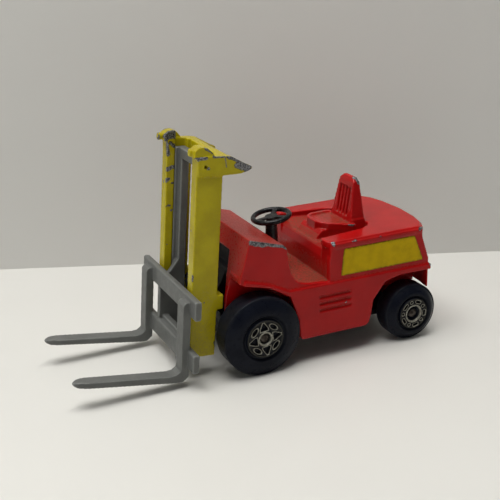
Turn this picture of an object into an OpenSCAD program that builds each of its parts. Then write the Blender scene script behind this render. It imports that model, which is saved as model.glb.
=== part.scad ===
// Toy fork lift truck, die-cast and plastic, 2 1/2 inch class.
// Frame: +X forward (forks), +Y the truck's left, +Z up, wheels on z = 0, origin under the middle.
// Every node below is one separate physical piece of the toy.

/* [Running gear] */
// Distance between the two axles
wheelbase = 28.2; // [26:0.1:31]
// Front wheel diameter
front_wheel_d = 13.3; // [11:0.1:15]
// Rear wheel diameter
rear_wheel_d = 9.9; // [8:0.1:12]
// Front wheel tread, inner face distance from the middle
front_wheel_in = 7.5; // [7:0.1:8]
// Front wheel tread, outer face distance from the middle
front_wheel_out = 11.25; // [10:0.1:12]
// Rear wheel tread, inner face distance from the middle
rear_wheel_in = 7.4; // [7:0.1:8]
// Rear wheel tread, outer face distance from the middle
rear_wheel_out = 10.6; // [9:0.1:11]
// Steel axle diameter
axle_d = 0.9; // [0.7:0.05:1.2]
// Radial clearance of a wheel on its axle
wheel_clear = 0.06; // [0.03:0.01:0.1]

/* [Body] */
// Width over the body sides
body_w = 20.8; // [18:0.1:24]
// Height of the rear deck above the ground
deck_z = 20.0; // [18:0.1:22]
// Height of the waist ledge
waist_z = 13.2; // [12:0.1:14]
// Height of the sill underside
sill_z = 4.3; // [3.5:0.1:6]
// Casting wall thickness
wall = 1.2; // [0.8:0.1:1.6]

/* [Mast] */
// Backward lean of the mast at rest
mast_lean = 5; // [0:0.5:10]
// Width over the two mast columns
mast_w = 14.8; // [13:0.1:17]
// Upward rake of the fork blades against the mast
blade_rake = 4.6; // [0:0.5:6]
// Width over the two fork blades
fork_w = 19.3; // [15:0.1:22]
// Width of one fork blade
blade_w = 2.35; // [1.5:0.1:3]

/* [Hidden] */
$fn = 64;
front_axle_x = 1.31;
front_r = front_wheel_d / 2;
rear_r = rear_wheel_d / 2;
axle_r = axle_d / 2;
front_rise = 0.95;
front_ridge = 3.75;
front_ring = 3.1;
rear_rise = 1.08;
rear_ridge = 3.2;
rear_ring = 2.65;
half_w = body_w / 2;
skirt_y = half_w + 0.3;
skirt_in = 9.35;
well_y = 6.9;
tail_x = -29.9;
tail_bulge = 2.7;
dash_x = -4.8;
dash_z = 20.9;
nose_x = 1.5;
nose_z = 22.8;
nose_low_x = 3.4;
nose_low_z = 16.3;
floor_z = 13.4;
bulkhead_x = -12.5;
seat_front_x = -14.7;
seat_back_x = -20.5;
seat_y = 3.3;
well_floor_z = 18.1;
groove_tilt = 8.83;
column_x = -7.2;
rim_z = 22.45;
rim_r = 3.03;
rim_tube = 0.42;
rim_tilt = 7.5;
plate_z = 3.9;
plate_t = 1.0;
plate_y = 6.8;
post_r = 1.1;
head_r = 1.45;
head_t = 0.28;
sink_t = 0.45;
front_post_x = -6.2;
rear_post_x = -20.0;
pivot_u = 7.1;
pivot_v = 11.9;
pivot_r = 0.5;
lug_r = 0.88;
col_u0 = 7.2;
col_u1 = 11.5;
col_y = mast_w / 2;
col_v0 = 2.8;
col_v1 = 35.4;
slot_u0 = 8.0;
slot_u1 = 10.1;
rail_front = 9.4;
web_t = 1.1;
lip_y = 5.3;
rail_gap = 0.05;
rail_y0 = 4.2;
rail_y1 = col_y - web_t - rail_gap;
fork_y = fork_w / 2;
bar_u0 = 11.6;
bar_u1 = 12.7;
bar_y = 11.85;
leg_u1 = 13.8;
rail_top = 34.1;
label_t = 0.1;

// ---------- helpers ----------

// extrude an x-z outline from y = a to y = b
module slab(a, b) {
  translate([0, b, 0]) rotate([90, 0, 0]) linear_extrude(b - a) children();
}

// the same outline on the left and on the right side
module both_sides(a, b) {
  slab(a, b) children();
  slab(-b, -a) children();
}

// cylinder along Y between two y values
module rod_y(r, a, b) {
  translate([0, b, 0]) rotate([90, 0, 0]) cylinder(r = r, h = b - a);
}

// mast coordinates: x = forward from the mast line, z = up along the mast
module in_mast() {
  rotate([0, -mast_lean, 0]) children();
}

// ---------- body casting ----------

module skirt_outline() {
  polygon([[2.55, 16.3], [-1.4, 15.1], [-5.25, waist_z], [-32.0, waist_z - 0.1],
           [-32.0, 12.1], [-26.0, 12.2], [-23.0, 11.5], [-20.7, 8.6], [-20.3, 6.0],
           [-19.9, 4.7], [-19.3, sill_z], [-7.4, sill_z], [-7.0, 5.0], [-6.75, 7.9],
           [-5.3, 12.2], [-1.7, 14.4], [2.9, 15.6]]);
}

module leg_shield_outline() {
  polygon([[nose_x, nose_z], [dash_x + 0.5, dash_z + 0.15], [dash_x, dash_z - 0.4],
           [-5.1, 18.0], [-5.5, 16.2], [-6.2, 14.9], [-7.2, 14.1], [-9.0, 13.7],
           [bulkhead_x, 13.4], [bulkhead_x, 12.6], [-5.25, 12.6], [-1.4, 14.5], [3.5, 15.9]]);
}

module rear_side_outline() {
  polygon([[-13.0, 19.0], [bulkhead_x, 17.0], [bulkhead_x, 12.4], [-31.6, 12.4],
           [-31.6, 14.2], [tail_x, 19.2]]);
}

// deck plan seen from above: rounded tail, two short wings at the front
module deck_plan(grow) {
  half = half_w + grow;
  polygon([[-12.3, 8.3], [-12.45, 9.3], [-13.1, half], [tail_x + 0.3, half],
           [tail_x - 0.6 - grow, half - 0.7], [tail_x - 1.6 - grow, 7.9], [tail_x - 2.3 - grow, 5.0],
           [tail_x - tail_bulge - grow, 0], [tail_x - 2.3 - grow, -5.0], [tail_x - 1.6 - grow, -7.9],
           [tail_x - 0.6 - grow, -half + 0.7], [tail_x + 0.3, -half], [-13.1, -half],
           [-12.45, -9.3], [-12.3, -8.3], [-12.6, -7.0], [-12.6, 7.0]]);
}

// well round the seat, closing in toward the back
module seat_well() {
  translate([0, 0, 16.0]) linear_extrude(6)
    polygon([[-11.0, 7.5], [-12.6, 7.4], [-20.7, 6.3], [-22.5, 5.4], [-23.3, 4.2], [-23.3, -4.2], [-22.5, -5.4],
             [-20.7, -6.3], [-12.6, -7.4], [-11.0, -7.5]]);
}

module deck() {
  difference() {
    union() {
      translate([0, 0, deck_z - 1.1]) linear_extrude(0.75) deck_plan(0.15);
      translate([0, 0, deck_z - 0.4]) linear_extrude(0.4) deck_plan(-0.2);
    }
    seat_well();
  }
}

// tail wall under the deck, wider toward the bottom, with a thin strip hanging below it
module tail_wall() {
  difference() {
    union() {
      translate([0, 0, 14.0]) linear_extrude(deck_z - 14.6) tail_plan(0.4, 1.4);
      translate([0, 0, 12.35]) linear_extrude(1.85) tail_plan(1.75, 2.8);
    }
    translate([-28.5, -20, 0]) cube([40, 40, 30]);
  }
  translate([0, 0, 8.7]) linear_extrude(4.2)
    polygon([[-31.52, 10.2], [-31.62, 9.0], [-31.9, 7.6], [-32.2, 0], [-31.9, -7.6], [-31.62, -9.0], [-31.52, -10.2],
             [-31.75, -10.25], [-32.0, -9.4], [-32.5, -8.0], [-32.8, -5.0], [-32.9, 0], [-32.8, 5.0], [-32.5, 8.0],
             [-32.0, 9.4], [-31.75, 10.25]]);
}

module tail_plan(out, depth) {
  half = half_w - 0.1;
  difference() {
    polygon([[tail_x + 1.5, half], [tail_x - out, half], [tail_x - out - 0.9, 8.0],
             [tail_x - out - 1.2, 5.0], [tail_x - out - 1.3, 0], [tail_x - out - 1.2, -5.0],
             [tail_x - out - 0.9, -8.0], [tail_x - out, -half], [tail_x + 1.5, -half]]);
    polygon([[tail_x + 1.6, half - wall], [tail_x - out + depth - 1.0, half - wall],
             [tail_x - out + depth - 1.6, 0], [tail_x - out + depth - 1.0, -half + wall],
             [tail_x + 1.6, -half + wall]]);
  }
}

module cockpit() {
  // floor between the leg shields and the bulkhead
  translate([bulkhead_x - 0.6, -half_w + 0.3, floor_z - wall]) cube([8.4, body_w - 0.6, wall]);
  // bulkhead behind the feet under the wings
  both_sides(7.3, half_w - 0.2)
    polygon([[bulkhead_x, 12.3], [bulkhead_x - 0.2, 19.2], [bulkhead_x - 1.3, 19.2], [bulkhead_x - 1.4, 12.3]]);
  // between the wings it rises into the floor of the seat well, lowest beside the seat
  intersection() {
    slab(-7.6, 7.6)
      polygon([[bulkhead_x, 12.3], [bulkhead_x - 0.2, 16.6], [bulkhead_x - 0.5, 17.8], [bulkhead_x - 1.0, 18.6],
               [bulkhead_x - 1.8, 19.2], [-23.6, 19.3], [-23.6, 17.0], [-14.8, 16.9], [-13.9, 16.0], [-13.9, 12.3]]);
    translate([-24.5, 0, 0]) rotate([90, 0, 90]) linear_extrude(13)
      polygon([[-8.0, 12.0], [-8.0, 19.4], [-4.1, well_floor_z], [4.1, well_floor_z], [8.0, 19.4], [8.0, 12.0]]);
  }
  // side walls of the seat well
  difference() {
    translate([0, 0, 16.6]) linear_extrude(2.8)
      polygon([[bulkhead_x - 0.3, 8.4], [-20.9, 7.3], [-23.0, 6.4], [-24.3, 4.6], [-24.3, -4.6], [-23.0, -6.4],
               [-20.9, -7.3], [bulkhead_x - 0.3, -8.4]]);
    seat_well();
  }
}

module cushion_plan(inset) {
  y0 = seat_y - 0.4 - inset;
  y1 = 4.6 - inset;
  polygon([[-20.9, y1], [-19.8, y1], [-16.2, y0 + 0.4], [-15.2, y0 - 0.5], [seat_front_x - inset, y0 - 1.6],
           [seat_front_x - inset, -y0 + 1.6], [-15.2, -y0 + 0.5], [-16.2, -y0 - 0.4], [-19.8, -y1], [-20.9, -y1]]);
}

module seat() {
  // pedestal flush with the bulkhead, and a cushion with a raised rim, lower at the back
  slab(-seat_y, seat_y)
    polygon([[bulkhead_x - 0.3, 16.0], [bulkhead_x - 1.0, 18.0], [seat_front_x - 0.25, 19.6], [-20.9, 19.6],
             [-20.9, 17.6], [-14.4, 17.2], [-13.6, 16.0]]);
  translate([0, 0, 17.3]) linear_extrude(2.2) cushion_plan(0.08);
  difference() {
    translate([0, 0, 19.35]) linear_extrude(1.4) cushion_plan(0);
    // top face falls to the back, with a shallow dish inside the rim
    slab(-8, 8) polygon([[-13, 20.75], [-16.0, 20.72], [-21.4, 20.1], [-21.4, 23], [-13, 23]]);
    intersection() {
      translate([0, 0, 19.5]) linear_extrude(2) cushion_plan(0.75);
      slab(-8, 8) polygon([[-13, 20.4], [-16.0, 20.35], [-21.4, 19.75], [-21.4, 23], [-13, 23]]);
    }
  }
  seat_back();
}

module seat_back() {
  difference() {
    union() {
      hull() {
        translate([-23.2, -seat_y - 0.2, 19.6]) cube([2.8, 2 * seat_y + 0.4, 0.2]);
        translate([-22.75, -2.3, 26.5]) cube([1.2, 4.6, 0.2]);
        translate([-22.6, -1.5, 27.3]) cube([0.7, 3.0, 0.1]);
      }
      // foot of the back, spreading down into the well
      hull() {
        translate([-23.2, -seat_y - 0.2, 20.4]) cube([2.6, 2 * seat_y + 0.4, 0.1]);
        translate([-23.25, -3.8, 17.6]) cube([2.8, 7.6, 0.1]);
      }
    }
    // four upright flutes, parallel to the front face
    for (i = [-1.5, -0.5, 0.5, 1.5])
      translate([seat_back_x - 0.1, i - 0.28, 20.8]) rotate([0, -groove_tilt, 0])
        translate([-0.5, 0, 0]) cube([1.2, 0.56, 5.0]);
  }
}

module nose() {
  // sloping front wall with the mast opening
  difference() {
    slab(-half_w, half_w)
      polygon([[nose_x, nose_z], [nose_low_x + 0.1, 15.9], [nose_low_x - 1.2, 15.5], [nose_x - 1.2, 21.5]]);
    mast_opening(0);
  }
  difference() {
    slab(-well_y, well_y)
      polygon([[nose_low_x + 0.1, 16.2], [4.4, 12.6], [4.6, 9.4], [3.4, 9.4], [3.2, 12.4], [nose_low_x - 1.1, 16.2]]);
    mast_opening(0);
  }
  // dash top, sloping down to the rear, with its turned-down rear edge
  slab(-half_w, half_w)
    polygon([[nose_x, nose_z], [dash_x + 0.5, dash_z + 0.15], [dash_x, dash_z - 0.4], [dash_x + 0.1, dash_z - 1.6],
             [dash_x + 1.0, dash_z - 1.3], [nose_x - 0.9, 21.4]]);
  // bulkhead in front of the feet
  slab(-half_w + 0.4, half_w - 0.4)
    polygon([[dash_x + 0.1, dash_z - 1.0], [-5.5, 12.4], [-4.3, 12.4], [dash_x + 1.2, dash_z - 1.0]]);
}

// opening in the nose, wider toward the bottom
module mast_opening(shrink) {
  translate([0.6 + shrink, 0, 0]) rotate([90, 0, 90]) linear_extrude(10)
    polygon([[-4.3 + shrink, 19.6 - shrink], [4.3 - shrink, 19.6 - shrink], [6.15 - shrink, 13.5],
             [6.15 - shrink, 8.0], [-6.15 + shrink, 8.0], [-6.15 + shrink, 13.5]]);
}

module wheel_wells() {
  // walls between the wheels, front and rear, and the panel over the rear wheels
  both_sides(well_y - wall, well_y)
    polygon([[3.9, 9.4], [3.4, 15.8], [-4.6, 15.0], [-6.4, 12.6], [-7.4, 12.4], [-7.4, 5.2], [-5.0, 5.2], [-5.0, 9.4]]);
  both_sides(well_y - wall, well_y)
    polygon([[-20.0, 5.2], [-20.0, 13.2], [-31.0, 13.2], [-31.0, 9.0], [-23.0, 9.0], [-22.0, 5.2]]);
  translate([-31.0, -half_w + 0.3, 12.3]) cube([11.2, body_w - 0.6, 0.9]);
  // closing webs from the wells to the skirt
  both_sides(well_y - 0.3, skirt_in + 0.2) polygon([[-7.6, 5.2], [-8.4, 5.2], [-8.4, 12.6], [-7.6, 12.6]]);
  both_sides(well_y - 0.3, skirt_in + 0.2) polygon([[-19.2, 5.2], [-20.0, 5.2], [-20.0, 12.6], [-19.2, 12.6]]);
  both_sides(well_y - 0.3, skirt_in + 0.2)
    polygon([[3.5, 15.9], [-1.4, 14.5], [-5.25, 12.4], [-5.25, 13.4], [-1.4, 15.4], [3.4, 16.8]]);
}

module louvre_cuts() {
  for (s = [-1, 1]) for (i = [0, 1, 2])
    translate([-16.5, s * skirt_y - 0.3, 8.5 + i * 1.15]) cube([6.0, 0.6, 0.55]);
}

module side_walls() {
  both_sides(skirt_in, skirt_y) skirt_outline();
  both_sides(half_w - wall, half_w) leg_shield_outline();
  both_sides(half_w - wall, half_w) rear_side_outline();
}

// posts that hold the base on: their heads are spread in countersinks under the base
module posts() {
  for (x = [front_post_x, rear_post_x])
    translate([x, 0, 0]) {
      translate([0, 0, plate_z + 0.15]) cylinder(r = 0.95, h = 12.6 - plate_z);
      translate([0, 0, plate_z + plate_t + 0.02]) cylinder(r = post_r + 0.5, h = 13.0 - plate_z - plate_t);
      translate([0, 0, plate_z + 0.12]) cylinder(r = head_r, h = head_t);
    }
  // ribs that close the axle slots from above
  translate([-0.45, -5.9, front_r + axle_r + 0.05]) cube([0.9, 11.8, 8.6]);
  translate([-wheelbase - 0.45, -5.9, rear_r + axle_r + 0.05]) cube([0.9, 11.8, 7.0]);
}

module body_casting() {
  color([0.75, 0.06, 0.05])
  translate([front_axle_x, 0, 0])
  difference() {
    union() {
      side_walls();
      deck();
      tail_wall();
      cockpit();
      seat();
      nose();
      wheel_wells();
      posts();
      // boss for the steering column
      translate([column_x, 0, 10.4]) cylinder(r = 1.5, h = 3.0);
    }
    louvre_cuts();
    translate([column_x, 0, 9]) cylinder(r = 0.7, h = 6);
    // clear cavity for the mast nose of the base
    translate([-1.0, -4.3, 5]) cube([8, 8.6, 14.6]);
    mast_opening(0);
    rod_gap(0, front_r);
    rod_gap(-wheelbase, rear_r);
  }
}

module rod_gap(x, z) {
  translate([x, 0, z]) rod_y(axle_r + 0.05, -12, 12);
}

// ---------- base casting ----------

module base_casting() {
  color([0.04, 0.04, 0.05])
  translate([front_axle_x, 0, 0])
  difference() {
    union() {
      // pan
      translate([-30.6, -plate_y, plate_z]) cube([34.2, 2 * plate_y, plate_t]);
      // wider part between the sills
      translate([-19.0, -skirt_in + 0.15, plate_z]) cube([11.2, 2 * skirt_in - 0.3, plate_t]);
      // front axle cradle
      both_sides(3.2, 5.6) polygon([[-1.3, 4.5], [-1.1, front_r + 0.4], [1.1, front_r + 0.4], [1.3, 4.5]]);
      // rear axle cradle
      both_sides(3.2, 5.6)
        polygon([[-wheelbase - 1.3, 4.5], [-wheelbase - 1.1, rear_r + 0.4], [-wheelbase + 1.1, rear_r + 0.4],
                 [-wheelbase + 1.3, 4.5]]);
      // mast block filling the opening in the nose
      slab(-4.0, 4.0)
        polygon([[1.4, 4.2], [3.6, 4.2], [4.3, 9.0], [6.3, 10.7], [7.05, 11.3], [7.2, 12.3], [6.8, 13.2],
                 [5.9, 13.5], [4.4, 13.6], [2.9, 16.3], [1.6, 16.4], [1.2, 19.3], [0.0, 19.3], [0.0, 9.4], [1.4, 8.6]]);
      // wider lower part seen in the opening, with a ledge on top
      intersection() {
        mast_opening(0.25);
        slab(-7, 7) polygon([[0.9, 9.2], [2.9, 9.2], [2.9, 15.9], [2.5, 16.3], [0.9, 16.3]]);
      }
    }
    // axle slots, open above
    for (p = [[0, front_r], [-wheelbase, rear_r]]) translate([p[0], 0, p[1]]) {
      rod_y(axle_r + 0.04, -7, 7);
      translate([-axle_r - 0.04, -7, 0]) cube([axle_d + 0.08, 14, 4]);
    }
    // holes over the body posts, countersunk below
    for (x = [front_post_x, rear_post_x]) translate([x, 0, plate_z - 1]) {
      cylinder(r = post_r, h = 4);
      cylinder(r = head_r + 0.25, h = 1 + sink_t);
    }
    translate([pivot_x(), 0, pivot_z()]) rod_y(pivot_r + 0.05, -6, 6);
  }
}

function pivot_x() = pivot_u * cos(mast_lean) - pivot_v * sin(mast_lean);
function pivot_z() = pivot_u * sin(mast_lean) + pivot_v * cos(mast_lean);

// ---------- axles and wheels ----------

module axle(x, z, reach) {
  color([0.72, 0.73, 0.74])
  translate([front_axle_x + x, 0, z]) {
    rod_y(axle_r, -reach, reach);
    for (s = [-1, 1]) translate([0, s * reach, 0]) rod_y(0.8, -0.18, 0.18);
  }
}

module front_axle() { axle(0, front_r, front_wheel_out + front_rise - 0.25); }
module rear_axle() { axle(-wheelbase, rear_r, rear_wheel_out + rear_rise - 0.25); }

// half section of a wheel: radius across, width up; the sidewall rises to a ridge and a hub ring
module wheel_section(r, w, rise, ridge, ring) {
  polygon([[axle_r + wheel_clear, 0.35], [1.5, 0.35], [1.7, 0.9], [ridge + 0.4, 1.2], [r - 0.9, 0.15], [r - 0.35, 0],
           [r - 0.08, 0.12], [r, 0.35], [r, w - 0.3], [r - 0.08, w - 0.1], [r - 0.3, w],
           [ridge + 1.2, w + rise * 0.5], [ridge + 0.2, w + rise * 0.84], [ridge - 0.1, w + rise * 0.84],
           [ring + 0.25, w + rise * 0.55], [ring + 0.05, w + rise * 0.94], [ring - 0.35, w + rise * 0.94],
           [ring - 0.45, w + rise * 0.75], [1.55, w + rise * 0.75], [1.4, w + rise], [1.1, w + rise],
           [0.98, w + rise - 0.1], [0.92, w + rise - 0.55], [axle_r + wheel_clear, w + rise - 0.55]]);
}

module wheel(side, x, r, inner, w, rise, ridge, ring) {
  translate([front_axle_x + x, 0, r]) rotate([0, 0, side > 0 ? 0 : 180])
    translate([0, inner, 0]) rotate([-90, 0, 0]) rotate_extrude() wheel_section(r, w, rise, ridge, ring);
}

module front_wheel(side) {
  color([0.06, 0.07, 0.1])
  difference() {
    wheel(side, 0, front_r, front_wheel_in, front_wheel_out - front_wheel_in, front_rise, front_ridge, front_ring);
    // eight pockets between the hub webs
    for (i = [0 : 7])
      translate([front_axle_x, side * (front_wheel_out + front_rise), front_r]) rotate([0, i * 45 + 8, 0])
        translate([(front_ring + 1.1) / 2, 0, 0]) rod_y(i % 2 == 0 ? 0.46 : 0.36, -0.9, 0.9);
  }
}

module rear_wheel(side) {
  color([0.06, 0.07, 0.1])
  difference() {
    wheel(side, -wheelbase, rear_r, rear_wheel_in, rear_wheel_out - rear_wheel_in, rear_rise, rear_ridge, rear_ring);
    for (i = [0 : 4])
      translate([front_axle_x - wheelbase, side * (rear_wheel_out + rear_rise), rear_r]) rotate([0, i * 72, 0])
        translate([1.95, 0, 0]) rod_y(0.26, -0.8, 0.8);
  }
}

module front_wheel_left() { front_wheel(1); }
module front_wheel_right() { front_wheel(-1); }
module rear_wheel_left() { rear_wheel(1); }
module rear_wheel_right() { rear_wheel(-1); }

// ---------- steering wheel ----------

module steering_wheel() {
  color([0.03, 0.03, 0.03])
  translate([front_axle_x + column_x, 0, 0]) {
    translate([0, 0, 11.0]) cylinder(r = 0.7, h = 3);
    translate([0, 0, floor_z + 0.02]) cylinder(r1 = 1.25, r2 = 0.95, h = 8.2);
    translate([0, 0, rim_z]) rotate([0, rim_tilt, 0]) {
      rotate_extrude() translate([rim_r, 0]) circle(r = rim_tube, $fn = 24);
      translate([0, 0, -1.4]) cylinder(r = 0.95, h = 1.2);
      translate([0, 0, -0.45]) cylinder(r = 1.1, h = 0.55);
      for (a = [0, 130, 230])
        rotate([0, 0, a]) translate([0.6, -0.4, -0.3]) cube([rim_r - 0.7, 0.8, 0.4]);
    }
  }
}

// ---------- mast ----------

module column(s) {
  // channel open to the middle: outer web with front and rear flanges
  difference() {
    translate([col_u0, s > 0 ? lip_y : -col_y, col_v0]) cube([col_u1 - col_u0, col_y - lip_y, col_v1 - col_v0]);
    translate([slot_u0, s > 0 ? lip_y - 1 : -col_y + web_t, col_v0 - 1])
      cube([slot_u1 - slot_u0, col_y - web_t - lip_y + 1, col_v1]);
  }
}

module mast_cheek(s) {
  // thick head plate on the column with a horn drawn out to the rear
  slab(s > 0 ? col_y - 0.95 : -col_y - 0.3, s > 0 ? col_y + 0.3 : -col_y + 0.95)
    polygon([[col_u1 - 0.2, 32.4], [col_u1, 35.2], [10.0, 35.4], [7.2, 35.4], [6.0, 35.3], [3.2, 33.9], [2.6, 33.7],
             [2.5, 33.3], [3.2, 32.9], [4.3, 32.6], [7.2, 32.4]]);
}

module mast_knob(s) {
  // boss on top of the column with a short peg, worn down on the left
  slab(s * 6.35 - 1.1, s * 6.35 + 1.1)
    polygon([[slot_u1, 35.1], [slot_u1, 36.7], [10.5, 36.85], [11.3, 36.75], [11.85, 36.3], [12.0, 35.1]]);
  translate([11.6, s * 6.1, 35.85]) rotate([0, 90, 0]) cylinder(r = 0.6, h = s > 0 ? 0.8 : 1.3);
  // the boss runs down to the rear on the head plate only, clear of the rail
  slab(s > 0 ? col_y - 0.95 : -col_y - 0.1, s > 0 ? col_y + 0.1 : -col_y + 0.95)
    polygon([[slot_u1 + 0.2, 35.1], [slot_u1 + 0.2, 36.75], [9.8, 36.6], [9.1, 36.0], [8.5, 35.1]]);
}

module mast_frame() {
  color([0.85, 0.78, 0.12])
  translate([front_axle_x, 0, 0]) in_mast()
  difference() {
    union() {
      for (s = [-1, 1]) {
        column(s);
        mast_cheek(s);
        mast_knob(s);
        // pivot lug behind the column
        translate([pivot_u, s > 0 ? lip_y : -col_y, pivot_v]) {
          rod_y(lug_r, 0, col_y - lip_y);
          translate([0, 0, -1.6]) cube([0.8, col_y - lip_y, 3.2]);
        }
        translate([pivot_u - 1.0, s > 0 ? lip_y : -col_y, pivot_v - 1.3]) cube([1.5, col_y - lip_y, 2.4]);
      }
      // rear cross plate at the head
      translate([6.1, -col_y + 0.5, 33.6]) cube([1.4, mast_w - 1.0, 1.7]);
    }
    translate([pivot_u, 0, pivot_v]) rod_y(pivot_r, -7.0, 7.0);
    // small square core hole in each cheek
    for (s = [-1, 1]) translate([9.9, s * col_y - 0.5, 33.6]) cube([0.5, 1.0, 0.5]);
  }
}

module mast_pivot_pin() {
  color([0.7, 0.71, 0.72])
  translate([front_axle_x + pivot_x(), 0, pivot_z()]) rod_y(pivot_r, -6.9, 6.9);
}

// ---------- fork carriage: inner rails, cross bars and blades in one moulding ----------

module fork_blade(s) {
  y0 = s > 0 ? fork_y - blade_w : -fork_y;
  // upright leg with a rounded head, set against the front of the bars
  slab(y0, y0 + blade_w)
    polygon([[bar_u1 - 0.3, 0.6], [bar_u1 - 0.3, 12.6], [bar_u1, 13.2], [leg_u1 - 0.4, 13.2], [leg_u1, 12.7],
             [leg_u1, 0.6]]);
  // blade: thin slab, heel rounded inside and cut off outside, tip tapered in plan and in height
  translate([bar_u1 - 0.1, 0, -0.25]) rotate([0, -blade_rake, 0])
    intersection() {
      slab(y0, y0 + blade_w)
        polygon([[0, 1.4], [0.2, 0.7], [0.8, 0.1], [1.4, 0], [17.4, 0.1], [18.0, 0.25], [18.3, 0.5], [18.2, 0.8],
                 [17.2, 1.05], [2.9, 1.2], [2.0, 1.45], [1.4, 2.0], [1.15, 2.8], [0, 2.9]]);
      linear_extrude(8)
        polygon([[-1, y0], [16.2, y0 + 0.05], [17.6, y0 + 0.4], [18.3, y0 + 0.95], [18.3, y0 + blade_w - 0.95],
                 [17.6, y0 + blade_w - 0.4], [16.2, y0 + blade_w - 0.05], [-1, y0 + blade_w]]);
    }
}

module inner_rail(s) {
  u0 = slot_u0 + rail_gap;
  u1 = slot_u1 - rail_gap;
  // shoe running in the channel of the column, and the rail proper inside it
  shoe_y = lip_y - 0.1;
  translate([u0, s > 0 ? shoe_y : -rail_y1, 3.4]) cube([u1 - u0, rail_y1 - shoe_y, rail_top - 3.4]);
  translate([u0, s > 0 ? rail_y0 : -lip_y, 3.4]) cube([rail_front - u0, lip_y - rail_y0, rail_top - 3.4]);
  // side plate tying the rail to the bars, with a sloping shoulder
  slab(s > 0 ? rail_y0 : -rail_y0 - 0.9, s > 0 ? rail_y0 + 0.9 : -rail_y0)
    polygon([[u0, 15.5], [rail_front, 15.5], [10.9, 13.3], [bar_u1 - 0.2, 13.3], [bar_u1 - 0.2, 2.6], [u0, 3.6]]);
}

module carriage_bars() {
  slab(-bar_y, bar_y)
    polygon([[bar_u0, 11.1], [bar_u0, 13.8], [bar_u0 + 0.2, 14.0], [bar_u1 - 0.2, 14.0], [bar_u1, 13.8],
             [bar_u1, 11.1], [bar_u1 - 0.2, 10.9], [bar_u0 + 0.2, 10.9]]);
  slab(-bar_y, bar_y)
    polygon([[bar_u0, 2.3], [bar_u0, 5.0], [bar_u0 + 0.2, 5.2], [bar_u1 - 0.2, 5.2], [bar_u1, 5.0], [bar_u1, 2.3],
             [bar_u1 - 0.2, 2.1], [bar_u0 + 0.2, 2.1]]);
  // sill plate behind the middle window
  translate([bar_u0 - 0.9, -rail_y0 - 0.2, 3.6]) cube([1.1, 2 * rail_y0 + 0.4, 2.2]);
}

module fork_carriage() {
  color([0.42, 0.43, 0.43])
  translate([front_axle_x, 0, 0]) in_mast() {
    for (s = [-1, 1]) {
      fork_blade(s);
      inner_rail(s);
    }
    carriage_bars();
    // head bar across the inner rails
    translate([slot_u0 + rail_gap, -rail_y1, rail_top - 1.65])
      cube([rail_front - slot_u0 - rail_gap, 2 * rail_y1, 1.65]);
  }
}

// ---------- labels ----------

module side_label(s) {
  color([0.86, 0.8, 0.15])
  translate([front_axle_x, 0, 0])
  slab(s > 0 ? half_w + 0.01 : -half_w - 0.01 - label_t, s > 0 ? half_w + 0.01 + label_t : -half_w - 0.01)
    polygon([[-15.1, 18.5], [-28.7, 18.6], [-30.5, 14.0], [-14.6, 14.0]]);
}

module side_label_left() { side_label(1); }
module side_label_right() { side_label(-1); }

// ---------- build ----------

body_casting();
base_casting();
front_axle();
rear_axle();
front_wheel_left();
front_wheel_right();
rear_wheel_left();
rear_wheel_right();
steering_wheel();
mast_frame();
mast_pivot_pin();
fork_carriage();
side_label_left();
side_label_right();
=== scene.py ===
"""Looks of the toy fork lift truck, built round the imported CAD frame. Metres, +X forward, +Y left, +Z up."""

import math

import bpy
import numpy as np
from mathutils import Matrix, Vector


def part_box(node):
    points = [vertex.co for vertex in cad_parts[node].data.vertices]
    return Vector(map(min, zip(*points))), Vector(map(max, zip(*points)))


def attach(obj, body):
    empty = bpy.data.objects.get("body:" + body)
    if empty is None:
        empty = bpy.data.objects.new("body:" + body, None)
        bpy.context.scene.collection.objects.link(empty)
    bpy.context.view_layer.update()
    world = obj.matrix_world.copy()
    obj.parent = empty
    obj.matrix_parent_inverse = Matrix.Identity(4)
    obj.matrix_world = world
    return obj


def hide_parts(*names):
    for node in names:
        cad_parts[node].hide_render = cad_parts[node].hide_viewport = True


MM = 0.001

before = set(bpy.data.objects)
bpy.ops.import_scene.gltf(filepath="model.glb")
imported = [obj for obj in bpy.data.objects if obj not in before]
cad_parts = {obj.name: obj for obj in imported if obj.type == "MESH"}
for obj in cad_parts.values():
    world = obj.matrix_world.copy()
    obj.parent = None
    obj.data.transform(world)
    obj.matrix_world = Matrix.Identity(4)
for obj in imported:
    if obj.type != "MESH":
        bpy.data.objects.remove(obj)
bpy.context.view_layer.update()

# distances along the toy are counted from the front axle; this is where that axle lies in the frame
AXLE_X = sum(corner[0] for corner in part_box("front_wheel_left")) / 2 / MM


# ---------- mesh helpers (all in millimetres until the object is made) ----------

# smoothing goes one step in and a smaller step back out, so that a piece keeps its size
SMOOTH_IN, SMOOTH_OUT = 0.55, -0.42
# a point that stands out this far, in millimetres, counts as a full edge; the measure stops at MOST_RELIEF
RELIEF, MOST_RELIEF = 0.1, 1.5


def new_object(name, verts, faces, body, replaces):
    """A smooth mesh piece from points in millimetres, riding on a body in the place of CAD nodes."""
    mesh = bpy.data.meshes.new(name)
    verts = np.asarray(verts, float) * MM
    mesh.vertices.add(len(verts))
    mesh.vertices.foreach_set("co", verts.ravel())
    sizes = [len(f) for f in faces]
    starts = np.concatenate([[0], np.cumsum(sizes)[:-1]]).astype(int)
    mesh.loops.add(int(sum(sizes)))
    mesh.loops.foreach_set("vertex_index", [int(i) for f in faces for i in f])
    mesh.polygons.add(len(faces))
    mesh.polygons.foreach_set("loop_start", starts)
    mesh.update(calc_edges=True)
    mesh.validate()
    mesh.shade_smooth()
    obj = bpy.data.objects.new(name, mesh)
    bpy.context.scene.collection.objects.link(obj)
    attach(obj, body)
    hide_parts(*replaces)
    return obj


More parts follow.
